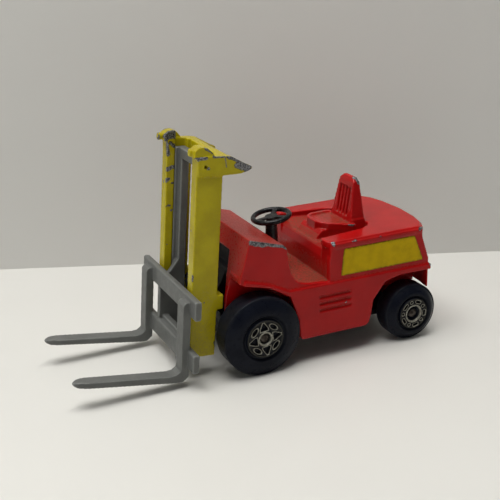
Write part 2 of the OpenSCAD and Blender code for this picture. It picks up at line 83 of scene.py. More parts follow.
def add_attribute(obj, name, values):
    """One number per vertex, read by the material."""
    layer = obj.data.attributes.new(name, "FLOAT", "POINT")
    layer.data.foreach_set("value", np.asarray(values, np.float32))


def neighbour_mean(verts, edges, degree):
    total = np.zeros_like(verts)
    for axis in range(3):
        total[:, axis] = np.bincount(edges[:, 0], verts[edges[:, 1], axis], len(verts))
        total[:, axis] += np.bincount(edges[:, 1], verts[edges[:, 0], axis], len(verts))
    return total / degree[:, None]


def spread(values, edges, degree, rounds):
    """Averages a per-vertex number over its neighbours."""
    for _ in range(rounds):
        total = np.bincount(edges[:, 0], values[edges[:, 1]], len(values))
        total += np.bincount(edges[:, 1], values[edges[:, 0]], len(values))
        values = 0.5 * values + 0.5 * total / degree
    return values


def remeshed(name, mesh, voxel):
    """Points and faces of the closed skin of a mesh in millimetres."""
    work = bpy.data.objects.new(name, mesh)
    bpy.context.scene.collection.objects.link(work)
    skin = work.modifiers.new("skin", "REMESH")
    skin.mode = "VOXEL"
    skin.voxel_size = voxel
    graph = bpy.context.evaluated_depsgraph_get()
    made = work.evaluated_get(graph).to_mesh()
    count = len(made.vertices)
    verts = np.zeros(count * 3)
    made.vertices.foreach_get("co", verts)
    edges = np.zeros(len(made.edges) * 2, int)
    made.edges.foreach_get("vertices", edges)
    faces = [tuple(p.vertices) for p in made.polygons]
    bpy.data.objects.remove(work)
    return verts.reshape(-1, 3), edges.reshape(-1, 2), faces


def vertex_normals(verts, faces):
    tris = np.array([(f[0], f[1], f[2]) for f in faces] + [(f[0], f[2], f[3]) for f in faces if len(f) == 4])
    a, b, c = verts[tris[:, 0]], verts[tris[:, 1]], verts[tris[:, 2]]
    cross = np.cross(b - a, c - a)
    normals = np.zeros_like(verts)
    for k in range(3):
        for axis in range(3):
            normals[:, axis] += np.bincount(tris[:, k], cross[:, axis], len(verts))
    return normals / np.maximum(np.linalg.norm(normals, axis=1), 1e-12)[:, None]


def softened(node, name, body, voxel, rounds, reach):
    """The CAD node's skin with its edges rounded as enamel or moulding rounds them.

    Writes two attributes: edge, how far a point stands out from what is round it within reach steps,
    and hollow, how far it lies in."""
    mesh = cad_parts[node].data.copy()
    mesh.transform(Matrix.Scale(1 / MM, 4))
    verts, edges, faces = remeshed(name + "_work", mesh, voxel)
    degree = np.bincount(edges.ravel(), minlength=len(verts)).astype(float)
    for _ in range(rounds):
        for pull in (SMOOTH_IN, SMOOTH_OUT):
            verts = verts + pull * (neighbour_mean(verts, edges, degree) - verts)
    normals = vertex_normals(verts, faces)
    blurred = verts
    for _ in range(reach):
        blurred = neighbour_mean(blurred, edges, degree)
    stand = np.einsum("ij,ij->i", verts - blurred, normals)
    stand = spread(stand, edges, degree, 2)
    obj = new_object(name, verts, faces, body, replaces=(node,))
    add_attribute(obj, "edge", np.clip(stand / RELIEF, 0, MOST_RELIEF))
    add_attribute(obj, "hollow", np.clip(-stand / RELIEF, 0, MOST_RELIEF))
    return obj, verts, normals


def spots(obj, verts, name, places):
    """Attribute: nearness to listed strokes, in millimetres from the front axle.

    Each is (start, end, radius, strength); a dot has None for its end."""
    value = np.zeros(len(verts))
    for start, end, radius, strength in places:
        start = np.array(start) + np.array([AXLE_X, 0, 0])
        end = start + 0.001 if end is None else np.array(end) + np.array([AXLE_X, 0, 0])
        along = end - start
        t = np.clip((verts - start) @ along / (along @ along), 0, 1)
        far = np.linalg.norm(verts - start - t[:, None] * along, axis=1) / radius
        value = np.maximum(value, strength * np.exp(-(far**2)))
    add_attribute(obj, name, value)


# ---------- material helpers ----------


class Paint:
    """A node material built one step at a time; every method returns the output socket of what it adds."""

    def __init__(self, name):
        self.material = bpy.data.materials.new(name)
        self.material.use_nodes = True
        self.tree = self.material.node_tree
        self.shader = self.tree.nodes["Principled BSDF"]
        coords = self.tree.nodes.new("ShaderNodeTexCoord")
        self.place = coords.outputs["Object"]

    def node(self, kind, inputs=None, **settings):
        made = self.tree.nodes.new(kind)
        for key, value in settings.items():
            setattr(made, key, value)
        for key, value in (inputs or {}).items():
            self.feed(made.inputs[key], value)
        return made

    def feed(self, socket, value):
        if isinstance(value, bpy.types.NodeSocket):
            self.tree.links.new(value, socket)
        else:
            socket.default_value = value

    def noise(self, size_mm, detail=3.0, rough=0.55, stretch=None):
        """Cloudy value whose blotches are about size_mm across."""
        place = self.place
        if stretch:
            place = self.node("ShaderNodeMapping", {"Vector": place, "Scale": stretch}).outputs[0]
        made = self.node(
            "ShaderNodeTexNoise",
            {"Vector": place, "Scale": 1 / (size_mm * MM), "Detail": detail, "Roughness": rough},
        )
        return made.outputs["Fac"]

    def attribute(self, name):
        return self.node("ShaderNodeAttribute", attribute_name=name).outputs["Fac"]

    def math(self, operation, a, b=0.0, clamp=False):
        made = self.node("ShaderNodeMath", {0: a, 1: b}, operation=operation)
        made.use_clamp = clamp
        return made.outputs[0]

    def ramp(self, value, low, high):
        """0 at low, 1 at high, smooth between."""
        inputs = {"Value": value, "From Min": low, "From Max": high}
        made = self.node("ShaderNodeMapRange", inputs, interpolation_type="SMOOTHSTEP")
        return made.outputs["Result"]

    def mix(self, amount, first, second):
        made = self.node("ShaderNodeMix", data_type="RGBA")
        self.feed(made.inputs["Factor"], amount)
        for key, value in ((6, first), (7, second)):
            if isinstance(value, tuple):
                value = (*value, 1.0)
            self.feed(made.inputs[key], value)
        return made.outputs[2]

    def blend(self, amount, first, second):
        """Number version of mix."""
        made = self.node("ShaderNodeMix", data_type="FLOAT")
        for key, value in ((0, amount), (2, first), (3, second)):
            self.feed(made.inputs[key], value)
        return made.outputs[0]

    def bump(self, height, strength, depth_mm):
        inputs = {"Height": height, "Strength": strength, "Distance": depth_mm * MM}
        made = self.node("ShaderNodeBump", inputs)
        return made.outputs[0]

    def finish(self, color, rough, metal=None, normal=None, coat=0.0, coat_rough=0.1, specular=0.5):
        self.feed(self.shader.inputs["Base Color"], color)
        self.feed(self.shader.inputs["Roughness"], rough)
        if metal is not None:
            self.feed(self.shader.inputs["Metallic"], metal)
        if normal is not None:
            self.feed(self.shader.inputs["Normal"], normal)
        self.shader.inputs["Coat Weight"].default_value = coat
        self.shader.inputs["Coat Roughness"].default_value = coat_rough
        self.shader.inputs["Specular IOR Level"].default_value = specular
        return self.material


def dress(obj, material):
    obj.data.materials.clear()
    obj.data.materials.append(material)


ZINC = (0.30, 0.30, 0.31)
ZINC_DARK = (0.035, 0.035, 0.04)
# brown of settled dust; the same brown also paints shade
DUST_AND_SHADE = (0.125, 0.062, 0.034)


def enamel(name, lit, deep, dust_and_shade_gain, chip_from, chip_noise_mm):
    """Glossy stoved enamel on zinc: cloudy colour, thin edges, dust in hollows and painted shade where the mask
    says, chips down to bare metal.
    """
    p = Paint(name)
    cloud = p.ramp(p.noise(4.0, 4.0), 0.3, 0.7)
    color = p.mix(cloud, lit, deep)
    fine = p.noise(0.35, 4.0, 0.6)
    # dust lies in hollows and where the attribute says; that attribute also carries painted shade, darkened
    # with the same brown
    grime_and_shade = p.math("ADD", p.math("MULTIPLY", p.attribute("hollow"), 0.35), p.attribute("dust_and_shade"))
    grime_and_shade = p.math("MULTIPLY", grime_and_shade, p.ramp(fine, 0.25, 0.7))
    grime_and_shade = p.math("MULTIPLY", grime_and_shade, dust_and_shade_gain, clamp=True)
    color = p.mix(grime_and_shade, color, DUST_AND_SHADE)
    # enamel runs thin over sharp edges
    thin = p.math("MULTIPLY", p.ramp(p.attribute("edge"), 0.35, 1.1), 0.35)
    color = p.mix(thin, color, tuple(min(1.0, c * 1.35 + 0.02) for c in lit))
    # chips: edge wear and hand-placed knocks, broken up by noise
    worn = p.math("ADD", p.math("MULTIPLY", p.attribute("edge"), 0.4), p.attribute("knock"))
    worn = p.math("ADD", worn, p.math("MULTIPLY", p.noise(chip_noise_mm, 5.0, 0.65), 0.9))
    bare = p.ramp(worn, chip_from, chip_from + 0.03)
    rim = p.ramp(worn, chip_from - 0.06, chip_from - 0.02)
    metal_color = p.mix(p.ramp(p.noise(0.25, 3.0), 0.35, 0.65), ZINC, ZINC_DARK)
    color = p.mix(p.math("MULTIPLY", rim, 0.75), color, ZINC_DARK)
    color = p.mix(bare, color, metal_color)
    rough = p.blend(grime_and_shade, 0.23, 0.75)
    rough = p.blend(bare, rough, 0.42)
    height = p.math("ADD", p.math("MULTIPLY", p.noise(1.9, 2.0), 0.5), p.math("MULTIPLY", fine, 0.06))
    height = p.math("SUBTRACT", height, p.math("MULTIPLY", rim, 0.8))
    height = p.math("ADD", height, p.math("MULTIPLY", grime_and_shade, p.noise(0.12, 3.0)))
    shine = p.math("MULTIPLY", bare, 0.8)
    return p.finish(color, rough, shine, p.bump(height, 0.3, 0.04), coat=0.09, coat_rough=0.07, specular=0.16)


def moulding(name, base, pale, rough, edge_gain):
    """Satin plastic with flow marks, handling marks, paler rubbed edges and painted shade in its hollows."""
    p = Paint(name)
    cloud = p.ramp(p.noise(2.2, 4.0), 0.35, 0.7)
    color = p.mix(p.math("MULTIPLY", cloud, 0.5), base, pale)
    rub = p.math("MULTIPLY", p.ramp(p.attribute("edge"), 0.25, 1.0), edge_gain)
    color = p.mix(rub, color, tuple(min(1.0, c * 1.9 + 0.02) for c in pale))
    # painted shade: hollows darkened towards a darker copy of the base colour
    hollow_shade = p.math("MULTIPLY", p.ramp(p.attribute("hollow"), 0.2, 1.0), 0.45)
    color = p.mix(hollow_shade, color, tuple(c * 0.45 for c in base))
    specks = p.ramp(p.noise(0.28, 2.0), 0.68, 0.74)
    color = p.mix(p.math("MULTIPLY", specks, 0.35), color, tuple(c * 0.4 for c in base))
    roughness = p.blend(p.ramp(p.noise(1.1, 3.0), 0.3, 0.7), rough - 0.08, rough + 0.1)
    height = p.math("ADD", p.noise(0.5, 4.0), p.math("MULTIPLY", p.noise(0.12, 2.0), 0.3))
    return p.finish(color, roughness, None, p.bump(height, 0.3, 0.03), specular=0.3)


def wheel_plastic(name):
    """Blue-black wheel moulding with dull scuffs and worn silver printing on the hub webs."""
    p = Paint(name)
    cloud = p.ramp(p.noise(3.0, 4.0), 0.35, 0.7)
    color = p.mix(cloud, (0.0040, 0.0052, 0.0105), (0.0075, 0.0092, 0.0160))
    scuff = p.math("MULTIPLY", p.attribute("scuff"), p.ramp(p.noise(0.7, 5.0, 0.65), 0.3, 0.72))
    color = p.mix(p.math("MULTIPLY", scuff, 0.3), color, (0.035, 0.035, 0.037))
    # thin printing: dull over the flats, bright where it stayed on the raised outlines
    wear = p.math("MULTIPLY", p.math("SUBTRACT", p.noise(0.3, 3.0), 0.5), 0.5)
    printed = p.math("ADD", p.attribute("foil"), wear)
    dull = p.math("MULTIPLY", p.ramp(printed, 0.12, 0.34), 0.75)
    bright = p.ramp(printed, 0.5, 0.78)
    silver = p.mix(p.ramp(p.noise(0.3, 3.0), 0.35, 0.65), (0.34, 0.33, 0.28), (0.18, 0.172, 0.145))
    color = p.mix(dull, color, (0.042, 0.040, 0.032))
    color = p.mix(bright, color, silver)
    rough = p.blend(bright, p.blend(scuff, 0.27, 0.5), 0.42)
    height = p.math("ADD", p.noise(0.8, 3.0), p.math("MULTIPLY", p.noise(0.15, 2.0), 0.2))
    return p.finish(color, rough, p.math("MULTIPLY", bright, 0.5), p.bump(height, 0.2, 0.02), specular=0.09)


def wire_steel(name):
    """Drawn wire with fine turning marks and a little tarnish."""
    p = Paint(name)
    tarnish = p.ramp(p.noise(0.8, 4.0), 0.4, 0.7)
    color = p.mix(tarnish, (0.10, 0.085, 0.075), (0.028, 0.020, 0.016))
    lines = p.noise(0.12, 2.0, stretch=(1.0, 0.05, 1.0))
    return p.finish(color, p.blend(tarnish, 0.35, 0.65), 0.8, p.bump(lines, 0.3, 0.02))


def sticker(name):
    """Yellow label stock: slightly mottled, browned toward its rim."""
    p = Paint(name)
    cloud = p.ramp(p.noise(1.8, 5.0, 0.6), 0.35, 0.72)
    color = p.mix(cloud, (0.60, 0.41, 0.003), (0.50, 0.34, 0.003))
    rim = p.math("MULTIPLY", p.attribute("rim"), p.ramp(p.noise(0.5, 4.0), 0.2, 0.6))
    color = p.mix(p.math("MULTIPLY", rim, 0.95), color, (0.045, 0.022, 0.006))
    specks = p.ramp(p.noise(0.35, 3.0), 0.69, 0.74)
    color = p.mix(p.math("MULTIPLY", specks, 0.45), color, (0.10, 0.075, 0.01))
    fibres = p.math("ADD", p.noise(0.25, 4.0), p.math("MULTIPLY", p.noise(1.5, 2.0), 0.8))
    return p.finish(color, p.blend(cloud, 0.38, 0.5), None, p.bump(fibres, 0.25, 0.03), specular=0.08)


def black_metal(name):
    """Thin semi-matt black finish on zinc."""
    p = Paint(name)
    cloud = p.ramp(p.noise(1.5, 4.0), 0.35, 0.7)
    color = p.mix(cloud, (0.004, 0.004, 0.005), (0.009, 0.009, 0.010))
    rub = p.math("MULTIPLY", p.ramp(p.attribute("edge"), 0.4, 1.1), p.ramp(p.noise(0.5, 4.0), 0.45, 0.6))
    color = p.mix(p.math("MULTIPLY", rub, 0.6), color, (0.10, 0.10, 0.10))
    height = p.math("ADD", p.noise(0.4, 4.0), p.noise(1.2, 2.0))
    shine = p.math("MULTIPLY", rub, 0.4)
    return p.finish(color, p.blend(cloud, 0.4, 0.58), shine, p.bump(height, 0.35, 0.04), specular=0.15)


# ---------- wheels ----------

SEGMENTS = 224
HUB_RINGS, WALL_RINGS, CORNER_RINGS, TREAD_RINGS = 46, 12, 6, 6
TREAD_CORNER = 0.24


def smoothstep(x, low, high):
    t = np.clip((x - low) / (high - low), 0, 1)
    return t * t * (3 - 2 * t)


def star_hub(px, pz):
    """Front hub, pocket depth and web ridge from 0 to 1: four pointed pockets in a cross, ovals between."""
    angle = np.arctan2(pz, px) - math.radians(83)
    radius = np.hypot(px, pz)
    quarter = math.pi / 2
    turn = (angle + quarter / 2) % quarter - quarter / 2
    along, across = radius * np.cos(turn), np.abs(radius * np.sin(turn))
    width = np.interp(along, [1.3, 1.75, 2.3, 2.75], [0.66, 0.62, 0.34, 0.1])
    star = np.maximum(across - width, np.maximum(1.42 - along, along - 2.72))
    turn = angle % quarter - quarter / 2
    ox, oy = radius * np.cos(turn) - 2.3, radius * np.sin(turn)
    oval = (np.hypot(ox / 0.33, oy / 0.66) - 1) * 0.38
    signed = np.minimum(star, oval)
    return smoothstep(-signed, -0.02, 0.09), np.exp(-(((signed - 0.09) / 0.075) ** 2))


def ring_hub(px, pz):
    """Rear hub: five round pockets and five short slots, alternating on one circle."""
    angle = np.arctan2(pz, px) - math.radians(78)
    radius = np.hypot(px, pz)
    step = 2 * math.pi / 5
    turn = (angle + step / 2) % step - step / 2
    dot = np.hypot(radius * np.cos(turn) - 2.1, radius * np.sin(turn)) - 0.2
    turn = angle % step - step / 2
    slot_a = np.abs(radius * np.sin(turn))
    slot = np.hypot(np.maximum(slot_a - 0.3, 0), radius * np.cos(turn) - 2.12) - 0.2
    signed = np.minimum(dot, slot)
    return smoothstep(-signed, -0.02, 0.08), np.exp(-(((signed - 0.08) / 0.07) ** 2))


WHEELS = {
    "front": {
        "bore": 0.52, "boss_in": 0.95, "boss_out": 1.26, "ring": 3.1, "ridge": 3.85, "hub": star_hub,
        "rise": 0.95, "boss_drop": 0.62, "pocket": 0.42,
    },
    "rear": {
        "bore": 0.52, "boss_in": 1.32, "boss_out": 1.62, "ring": 2.62, "ridge": 3.15, "hub": ring_hub,
        "rise": 1.08, "boss_drop": 0.6, "pocket": 0.4,
    },
}


def wheel_profile(spec, radius, tread_out, hub_y, inner):
    """(r, y) down the outside face, over the tread and back along the inside; the hub face has None for y."""
    rise = hub_y - tread_out
    ring, ridge = spec["ring"], spec["ridge"]
    face = [
        (spec["bore"], hub_y - spec["boss_drop"] - 0.25),
        (spec["bore"] + 0.02, hub_y - spec["boss_drop"]),
        (spec["boss_in"] - 0.08, hub_y - spec["boss_drop"] + 0.02),
        (spec["boss_in"], hub_y - 0.12),
        (spec["boss_in"] + 0.07, hub_y - 0.02),
    ]
    for i in range(HUB_RINGS + 1):
        r = spec["boss_in"] + 0.12 + (ring + 0.02 - spec["boss_in"] - 0.12) * i / HUB_RINGS
        face.append((r, None))
    groove = hub_y - rise * 0.55
    face += [
        (ring + 0.08, hub_y - rise * 0.2),
        (ring + 0.16, groove + 0.06),
        (ring + 0.26, groove),
        (ridge - 0.26, groove + 0.02),
        (ridge - 0.14, groove + 0.12),
        (ridge, tread_out + rise * 0.80),
        (ridge + 0.12, tread_out + rise * 0.83),
        (ridge + 0.28, tread_out + rise * 0.80),
    ]
    for i in range(1, WALL_RINGS + 1):
        t = i / WALL_RINGS
        r = ridge + 0.28 + (radius - 0.32 - ridge - 0.28) * t
        face.append((r, tread_out + rise * 0.80 * (1 - t**1.7)))
    corner = TREAD_CORNER
    for i in range(1, CORNER_RINGS + 1):
        a = math.pi / 2 * i / CORNER_RINGS
        face.append((radius - corner + corner * math.sin(a), tread_out - corner + corner * math.cos(a)))
    tread = tread_out - inner - 0.6
    middle = [(radius, tread_out - corner - tread * i / TREAD_RINGS) for i in range(1, TREAD_RINGS + 1)]
    back = [
        (radius - 0.06, inner + 0.14), (radius - 0.22, inner + 0.02), (radius - 0.6, inner + 0.02),
        (radius - 1.3, inner + 0.35), (ridge + 0.2, inner + 1.0), (1.8, inner + 0.95), (1.5, inner + 0.4),
        (spec["bore"] + 0.1, inner + 0.36), (spec["bore"], inner + 0.5),
    ]
    return face + middle + back


def make_wheel(end, side):
    node = f"{end}_wheel_{side}"
    low, high = (np.array(v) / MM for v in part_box(node))
    spec = WHEELS[end]
    sign = 1 if side == "left" else -1
    centre_x, centre_z = (low[0] + high[0]) / 2, (low[2] + high[2]) / 2
    radius = (high[2] - low[2]) / 2
    hub_y, inner = (high[1], low[1]) if sign > 0 else (-low[1], -high[1])
    tread_out = hub_y - spec["rise"]
    points = wheel_profile(spec, radius, tread_out, hub_y, inner)
    angles = np.arange(SEGMENTS) * 2 * math.pi / SEGMENTS
    cos, sin = np.cos(angles), np.sin(angles)
    verts, foil, scuff = [], [], []
    for r, y in points:
        px, pz = r * cos, r * sin
        if y is None:
            pocket, web = spec["hub"](px, pz)
            near_ring = smoothstep(r, spec["ring"] - 0.3, spec["ring"] - 0.14)
            near_boss = 1 - smoothstep(r, spec["boss_out"] - 0.05, spec["boss_out"] + 0.05)
            raised = np.clip(web * 0.85 + near_ring + near_boss, 0, 1) * (1 - pocket)
            ys = hub_y - 0.16 + 0.14 * raised - spec["pocket"] * pocket
            silver = np.clip(0.2 + 0.85 * web + 0.18 * near_ring + 0.6 * near_boss, 0, 1) * (1 - pocket)
        else:
            ys = np.full(SEGMENTS, y)
            silver = np.full(SEGMENTS, 0.9 if abs(y - hub_y) < 0.15 and r < 2 else 0.0)
        worn = np.full(SEGMENTS, 0.0)
        if y is not None and r > spec["ridge"] - 0.2:
            worn += math.exp(-(((r - spec["ridge"] - 0.1) / 0.25) ** 2)) * 0.8
            worn += 0.9 * float(smoothstep(np.array(r), radius - 0.5, radius - 0.05))
            worn += 0.15
        verts.append(np.stack([centre_x + sign * px, sign * ys, centre_z + pz], axis=1))
        foil.append(silver)
        scuff.append(worn)
    rings = len(points)
    faces = []
    for i in range(rings):
        j = (i + 1) % rings
        for k in range(SEGMENTS):
            m = (k + 1) % SEGMENTS
            faces.append((i * SEGMENTS + k, j * SEGMENTS + k, j * SEGMENTS + m, i * SEGMENTS + m))
    body = f"{end}_{side}_wheel"
    obj = new_object(node + "_moulding", np.concatenate(verts), faces, body, (node,))
    add_attribute(obj, "foil", np.concatenate(foil))
    add_attribute(obj, "scuff", np.concatenate(scuff))
    dress(obj, WHEEL_PLASTIC)


# ---------- axles ----------

WIRE_RADIUS = 0.45
# the drawn end stands this far inside the end of the CAD axle
END_RECESS = 0.25
AXLE_STEPS, AXLE_SEGMENTS = 40, 48


def make_axle(end):
    """Wire with peened, slightly domed ends."""
    node = end + "_axle"
    low, high = (np.array(v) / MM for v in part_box(node))
    centre_x, centre_z = (low[0] + high[0]) / 2, (low[2] + high[2]) / 2
    half, head, wire = high[1] - END_RECESS, (high[2] - low[2]) / 2, WIRE_RADIUS
    end_profile = [
        (0.0, half), (0.25, half - 0.01), (0.5, half - 0.05), (head - 0.12, half - 0.12), (head, half - 0.22),
        (head - 0.05, half - 0.32), (wire + 0.08, half - 0.36), (wire, half - 0.45),
    ]
    shank = half - 0.45
    profile = end_profile + [(wire, shank - shank * 2 * i / AXLE_STEPS) for i in range(1, AXLE_STEPS)]
    profile += [(r, -y) for r, y in reversed(end_profile)]
    count = AXLE_SEGMENTS
    verts, faces = [], []
    for r, y in profile:
        # the middle of each end is a very small ring, closed by one face
        r = max(r, 0.004)
        for k in range(count):
            a = 2 * math.pi * k / count
            verts.append((centre_x + r * math.cos(a), y, centre_z + r * math.sin(a)))
    for i in range(len(profile) - 1):
        for k in range(count):
            m = (k + 1) % count
            faces.append((i * count + k, i * count + m, (i + 1) * count + m, (i + 1) * count + k))
    faces.append(tuple(reversed(range(count))))
    faces.append(tuple((len(profile) - 1) * count + k for k in range(count)))
    obj = new_object(node + "_wire", verts, faces, "chassis", (node,))
    dress(obj, STEEL)


# ---------- labels ----------

LABEL_COLUMNS, LABEL_ROWS = 96, 30
# rough length and height of a label, for distances from its rim
LABEL_LENGTH, LABEL_HEIGHT = 15.0, 4.5


def make_label(side):
    """Thin sticker with cut corners, its rim turned down to the enamel."""
    node = "side_label_" + side
    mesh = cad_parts[node].data
    co = np.array([v.co for v in mesh.vertices]) / MM
    sign = 1 if side == "left" else -1
    skin_y = np.abs(co[:, 1]).min()
    out_y = np.abs(co[:, 1]).max()
    top, bottom = co[:, 2].max(), co[:, 2].min()
    upper, lower = co[co[:, 2] > (top + bottom) / 2], co[co[:, 2] < (top + bottom) / 2]
    corners = [
        np.array([lower[:, 0].max(), bottom]), np.array([upper[:, 0].max(), top]),
        np.array([upper[:, 0].min(), top]), np.array([lower[:, 0].min(), bottom]),
    ]
    nu, nv = LABEL_COLUMNS, LABEL_ROWS
    verts, rims = [], []
    for j in range(nv + 1):
        for i in range(nu + 1):
            u, v = i / nu, j / nv
            # pull the grid corners in a little for rounded corners
            cut = max(0.0, abs(2 * u - 1) - 0.94) / 0.06 * max(0.0, abs(2 * v - 1) - 0.8) / 0.2
            uu = 0.5 + (u - 0.5) * (1 - 0.008 * cut)
            vv = 0.5 + (v - 0.5) * (1 - 0.03 * cut)
            front = corners[0] * (1 - vv) + corners[1] * vv
            rear = corners[3] * (1 - vv) + corners[2] * vv
            x, z = front * (1 - uu) + rear * uu
            from_rim = min(min(u, 1 - u) * LABEL_LENGTH, min(v, 1 - v) * LABEL_HEIGHT)
            lift = 1 - math.exp(-from_rim / 0.07)
            ripple = 0.012 * math.sin(u * 9 + 1.3) * math.sin(v * 4 + 0.4)
            y = skin_y + 0.02 + (out_y - skin_y - 0.03) * lift * (0.85 + ripple * 8)
            verts.append((x, sign * y, z))
            rims.append(math.exp(-from_rim / 0.16))
    top_count = len(verts)
    verts += [(x, sign * (skin_y + 0.002), z) for x, _, z in verts]
    rims += rims
    row = nu + 1
    faces = []
    for j in range(nv):
        for i in range(nu):
            a, b, c, d = j * row + i, j * row + i + 1, (j + 1) * row + i + 1, (j + 1) * row + i
            faces.append((a, b, c, d))
            faces.append((top_count + d, top_count + c, top_count + b, top_count + a))
    border = [i for i in range(nu)] + [nu + j * row for j in range(nv)]
    border += [nv * row + i for i in range(nu, 0, -1)] + [j * row for j in range(nv, 0, -1)]
    for k, a in enumerate(border):
        b = border[(k + 1) % len(border)]
        faces.append((b, a, top_count + a, top_count + b))
    if sign > 0:
        faces = [tuple(reversed(f)) for f in faces]
    obj = new_object(node + "_sticker", verts, faces, "chassis", (node,))
    add_attribute(obj, "rim", rims)
    dress(obj, LABEL)


# ---------- finishes ----------

RED = enamel("red_enamel", (0.43, 0.0045, 0.005), (0.36, 0.0035, 0.004), 1.0, 1.02, 0.55)
YELLOW = enamel("yellow_enamel", (0.50, 0.42, 0.004), (0.41, 0.335, 0.003), 0.7, 0.955, 0.6)
GREY = moulding("grey_plastic", (0.118, 0.122, 0.116), (0.155, 0.160, 0.151), 0.45, 0.5)
BLACK_PLASTIC = moulding("black_plastic", (0.0045, 0.0045, 0.0055), (0.008, 0.0085, 0.0095), 0.27, 0.15)
WHEEL_PLASTIC = wheel_plastic("wheel_plastic")
STEEL = wire_steel("axle_steel")
LABEL = sticker("label_paper")
BLACK = black_metal("black_base")


# ---------- castings and mouldings ----------

# the labels lie on the sides of the body
half_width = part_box("side_label_left")[0][1] / MM


def make_body():
    obj, verts, normals = softened("body_casting", "body_enamelled", "chassis", 0.14, 4, 8)
    x, y, z = verts.T
    x = x - AXLE_X
    # dust settles on what faces up: dash, floor, cushion, seat well
    up = smoothstep(normals[:, 2], 0.25, 0.85)
    dash = smoothstep(x, -6.5, -4.0) * (z > 19.0) * 0.5
    floor = (z < 15.2) * (x > -13.5) * (x < -4.0) * (np.abs(y) < half_width - 0.6) * 0.95
    cushion = (np.abs(y) < 3.6) * (x > -21.0) * (x < -15.4) * (z > 19.3) * (z < 20.9) * 0.7
    cushion = cushion * smoothstep(-x, 15.6, 18.5)
    well = (z < 19.0) * (z > 15.8) * (x < -13.0) * 0.8
    deck = (z > 19.0) * (x < -13.0) * 0.03
    # painted shade: faces turned forward on the nose are darkened with the dust brown
    nose_shade = smoothstep(normals[:, 0], 0.6, 0.95) * (z > 14.5) * (x > 0.0) * 0.35
    # painted shade: the footwell walls darken towards the floor
    low_wall_shade = smoothstep(-z, -17.0, -13.6) * (x > -13.6) * (x < -4.0) * (z > 13.2) * 0.45
    low_wall_shade = low_wall_shade * (np.abs(y) < half_width - 1.0)
    flats = np.maximum.reduce([dash, floor, cushion, well, deck])
    # the mask holds real dust and this painted shade together
    add_attribute(obj, "dust_and_shade", np.maximum.reduce([up * flats, nose_shade, low_wall_shade]))
    side = half_width
    knocks = [
        # the long worn stroke on the dash edge, and the chips round it
        ((1.3, side, 22.5), (-4.7, side, 20.9), 0.42, 0.95),
        ((0.9, side, 22.3), (-0.8, side, 21.8), 0.6, 0.9),
        ((-4.4, side - 0.1, 20.8), (-4.9, side - 0.6, 20.3), 0.4, 0.8),
        # deck corners and rims
        ((-13.2, side, 19.9), None, 0.5, 0.75),
        ((-16.7, side + 0.05, 19.8), (-17.3, side + 0.05, 19.8), 0.28, 0.8),
        ((-21.9, side + 0.05, 19.7), None, 0.3, 0.55),
        ((-29.6, side, 19.6), (-30.3, side - 0.5, 19.6), 0.4, 0.7),
        ((-20.2, 4.5, 20.0), (-19.4, 4.4, 20.1), 0.22, 0.65),
        ((-15.7, 3.2, 20.6), None, 0.3, 0.5),
        # seat back head, bumper corner, sill and louvre marks
        ((-22.2, 1.5, 27.1), (-22.5, 2.15, 26.5), 0.42, 0.85),
        ((-22.4, -1.5, 27.2), None, 0.25, 0.4),
        ((-31.9, side - 0.3, 13.0), (-32.2, side - 1.2, 12.6), 0.6, 0.75),
        ((-12.5, 8.3, 13.6), None, 0.3, 0.6),
        ((-3.0, side + 0.25, 15.2), (-3.9, side + 0.25, 14.6), 0.25, 0.7),
        ((-15.3, side + 0.3, 9.3), None, 0.4, 0.45),
        ((-12.2, side + 0.3, 8.0), None, 0.3, 0.4),
        ((-18.9, side + 0.3, 5.0), None, 0.5, 0.45),
        # the far side and the tail
        ((1.0, -side, 22.4), (-2.4, -side, 21.5), 0.4, 0.8),
        ((-27.0, -side, 19.6), None, 0.6, 0.7),
        ((-32.4, 3.0, 13.8), (-32.3, 4.6, 13.9), 0.4, 0.7),
        ((-31.5, -side + 0.6, 14.0), None, 0.7, 0.7),
    ]
    spots(obj, verts, "knock", knocks)
    dress(obj, RED)


def on_mast(u, y, v):
    """A point given along the leaning mast, in toy coordinates."""
    lean = math.radians(5.0)
    return (u * math.cos(lean) - v * math.sin(lean), y, u * math.sin(lean) + v * math.cos(lean))


